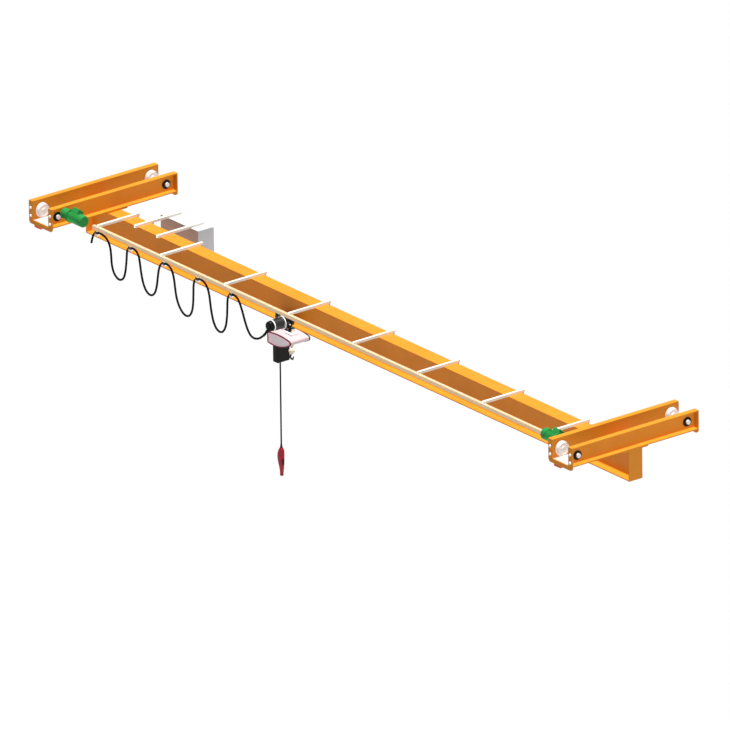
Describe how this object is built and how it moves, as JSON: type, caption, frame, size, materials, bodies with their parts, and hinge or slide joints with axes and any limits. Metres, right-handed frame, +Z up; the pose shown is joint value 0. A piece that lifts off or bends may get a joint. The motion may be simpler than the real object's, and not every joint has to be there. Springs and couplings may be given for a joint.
{
  "type": "underslung single-girder bridge crane",
  "caption": "Underslung overhead bridge crane: an I-beam girder hung from two wheeled carriages, with an electric chain hoist on a trolley, festoon cable and control pendant.",
  "frame": {"origin": "on the left runway's centre line, midway between its carriage's wheels, at the height of the wheel treads' undersides", "axes": "+X along the girder towards the right carriage, +Y along the runways away from the cable rail's side, +Z up"},
  "size_m": [8.206, 1.5, 2.1237],
  "materials": {
    "girder_paint": "satin",
    "carriage_paint": "satin",
    "wheel_steel": "satin",
    "axle_steel": "satin",
    "black_paint": "satin",
    "rubber_red": "matte",
    "motor_green": "satin",
    "arm_paint": "satin",
    "clamp_steel": "satin",
    "rail_steel": "satin",
    "panel_grey": "satin",
    "cable_rubber": "matte",
    "carrier_plastic": "matte",
    "trolley_black": "satin",
    "motor_grey": "satin",
    "fan_cover_black": "satin",
    "hoist_white": "satin",
    "hoist_front_pink": "satin",
    "rim_maroon": "satin",
    "ring_white": "satin",
    "button_maroon": "matte",
    "container_black": "matte",
    "chain_steel": "polished",
    "block_cream": "satin",
    "hook_steel": "satin",
    "pendant_red": "satin"
  },
  "bodies": {
    "bridge": {"main_girder": "girder_paint", "girder_end_plates": "girder_paint", "head_plates": "carriage_paint", "left_carriage_channels": "carriage_paint", "left_carriage_end_plates": "carriage_paint", "right_carriage_channels": "carriage_paint", "right_carriage_end_plates": "carriage_paint", "end_plate_pads": "rubber_red", "carriage_axles": "axle_steel", "axle_covers": "black_paint", "travel_motors": "motor_green", "outrigger_arms": "arm_paint", "arm_clamps": "clamp_steel", "cable_rail": "rail_steel", "control_panel": "panel_grey", "festoon_carrier_1": "carrier_plastic", "festoon_loop_1": "cable_rubber"},
    "left_front_wheel_a": {"left_front_wheel_a": "wheel_steel"},
    "left_rear_wheel_a": {"left_rear_wheel_a": "wheel_steel"},
    "left_front_wheel_b": {"left_front_wheel_b": "wheel_steel"},
    "left_rear_wheel_b": {"left_rear_wheel_b": "wheel_steel"},
    "right_front_wheel_a": {"right_front_wheel_a": "wheel_steel"},
    "right_rear_wheel_a": {"right_rear_wheel_a": "wheel_steel"},
    "right_front_wheel_b": {"right_front_wheel_b": "wheel_steel"},
    "right_rear_wheel_b": {"right_rear_wheel_b": "wheel_steel"},
    "carrier_2": {"festoon_carrier_2": "carrier_plastic", "festoon_loop_2": "cable_rubber"},
    "carrier_3": {"festoon_carrier_3": "carrier_plastic", "festoon_loop_3": "cable_rubber"},
    "carrier_4": {"festoon_carrier_4": "carrier_plastic", "festoon_loop_4": "cable_rubber"},
    "carrier_5": {"festoon_carrier_5": "carrier_plastic", "festoon_loop_5": "cable_rubber"},
    "trolley": {"trolley_plates": "trolley_black", "trolley_axles": "axle_steel", "trolley_pins": "axle_steel", "trolley_motor": "motor_grey", "trolley_motor_rings": "ring_white", "trolley_fan_cover": "fan_cover_black", "suspension_lug": "hoist_white", "hoist_body": "hoist_white", "hoist_front_rim": "rim_maroon", "hoist_front_cover": "hoist_front_pink", "hoist_rear_cover": "trolley_black", "chain_container": "container_black", "load_chain": "chain_steel", "pendant_gland": "carrier_plastic", "pendant_cable": "cable_rubber", "control_pendant": "pendant_red", "pendant_button_plate": "button_maroon", "pendant_end_cap": "carrier_plastic"},
    "trolley_wheel_front_left": {"trolley_wheel_front_left": "axle_steel"},
    "trolley_wheel_rear_left": {"trolley_wheel_rear_left": "axle_steel"},
    "trolley_wheel_front_right": {"trolley_wheel_front_right": "axle_steel"},
    "trolley_wheel_rear_right": {"trolley_wheel_rear_right": "axle_steel"},
    "hook_block": {"hook_block": "block_cream"},
    "load_hook": {"load_hook": "hook_steel"}
  },
  "joints": [
    {"name": "left_front_wheel_a_spin", "type": "hinge", "parent": "bridge", "child": "left_front_wheel_a", "pos_m": [-0.089, -0.65, 0.0625], "axis": [1, 0, 0], "continuous": true},
    {"name": "left_rear_wheel_a_spin", "type": "hinge", "parent": "bridge", "child": "left_rear_wheel_a", "pos_m": [-0.089, 0.65, 0.0625], "axis": [1, 0, 0], "continuous": true},
    {"name": "left_front_wheel_b_spin", "type": "hinge", "parent": "bridge", "child": "left_front_wheel_b", "pos_m": [0.089, -0.65, 0.0625], "axis": [1, 0, 0], "continuous": true},
    {"name": "left_rear_wheel_b_spin", "type": "hinge", "parent": "bridge", "child": "left_rear_wheel_b", "pos_m": [0.089, 0.65, 0.0625], "axis": [1, 0, 0], "continuous": true},
    {"name": "right_front_wheel_a_spin", "type": "hinge", "parent": "bridge", "child": "right_front_wheel_a", "pos_m": [7.761, -0.65, 0.0625], "axis": [1, 0, 0], "continuous": true},
    {"name": "right_rear_wheel_a_spin", "type": "hinge", "parent": "bridge", "child": "right_rear_wheel_a", "pos_m": [7.761, 0.65, 0.0625], "axis": [1, 0, 0], "continuous": true},
    {"name": "right_front_wheel_b_spin", "type": "hinge", "parent": "bridge", "child": "right_front_wheel_b", "pos_m": [7.939, -0.65, 0.0625], "axis": [1, 0, 0], "continuous": true},
    {"name": "right_rear_wheel_b_spin", "type": "hinge", "parent": "bridge", "child": "right_rear_wheel_b", "pos_m": [7.939, 0.65, 0.0625], "axis": [1, 0, 0], "continuous": true},
    {"name": "trolley_travel", "type": "slide", "parent": "bridge", "child": "trolley", "axis": [1, 0, 0], "range_m": [-0.9, 4.9], "deforming": ["festoon_loop_1", "festoon_loop_2", "festoon_loop_3", "festoon_loop_4", "festoon_loop_5"]},
    {"name": "trolley_wheel_front_left_spin", "type": "hinge", "parent": "trolley", "child": "trolley_wheel_front_left", "pos_m": [2.774, -0.067, -0.2942], "axis": [0, 1, 0], "continuous": true},
    {"name": "trolley_wheel_rear_left_spin", "type": "hinge", "parent": "trolley", "child": "trolley_wheel_rear_left", "pos_m": [2.774, 0.067, -0.2942], "axis": [0, 1, 0], "continuous": true},
    {"name": "trolley_wheel_front_right_spin", "type": "hinge", "parent": "trolley", "child": "trolley_wheel_front_right", "pos_m": [2.95, -0.067, -0.2942], "axis": [0, 1, 0], "continuous": true},
    {"name": "trolley_wheel_rear_right_spin", "type": "hinge", "parent": "trolley", "child": "trolley_wheel_rear_right", "pos_m": [2.95, 0.067, -0.2942], "axis": [0, 1, 0], "continuous": true},
    {"name": "carrier_2_slide", "type": "slide", "parent": "bridge", "child": "carrier_2", "axis": [1, 0, 0], "range_m": [-0.18, 0.98]},
    {"name": "carrier_3_slide", "type": "slide", "parent": "carrier_2", "child": "carrier_3", "axis": [1, 0, 0], "range_m": [-0.18, 0.98]},
    {"name": "carrier_4_slide", "type": "slide", "parent": "carrier_3", "child": "carrier_4", "axis": [1, 0, 0], "range_m": [-0.18, 0.98]},
    {"name": "carrier_5_slide", "type": "slide", "parent": "carrier_4", "child": "carrier_5", "axis": [1, 0, 0], "range_m": [-0.18, 0.98]},
    {"name": "hook_lift", "type": "slide", "parent": "trolley", "child": "hook_block", "axis": [0, 0, 1], "range_m": [-3, 0], "deforming": ["load_chain"]},
    {"name": "hook_swivel", "type": "hinge", "parent": "hook_block", "child": "load_hook", "pos_m": [2.862, 0, -0.66], "axis": [0, 0, 1], "continuous": true}
  ],
  "couplings": [
    {"joint": "carrier_2_slide", "follows": "trolley_travel", "ratio": 0.2},
    {"joint": "carrier_3_slide", "follows": "trolley_travel", "ratio": 0.2},
    {"joint": "carrier_4_slide", "follows": "trolley_travel", "ratio": 0.2},
    {"joint": "carrier_5_slide", "follows": "trolley_travel", "ratio": 0.2}
  ]
}
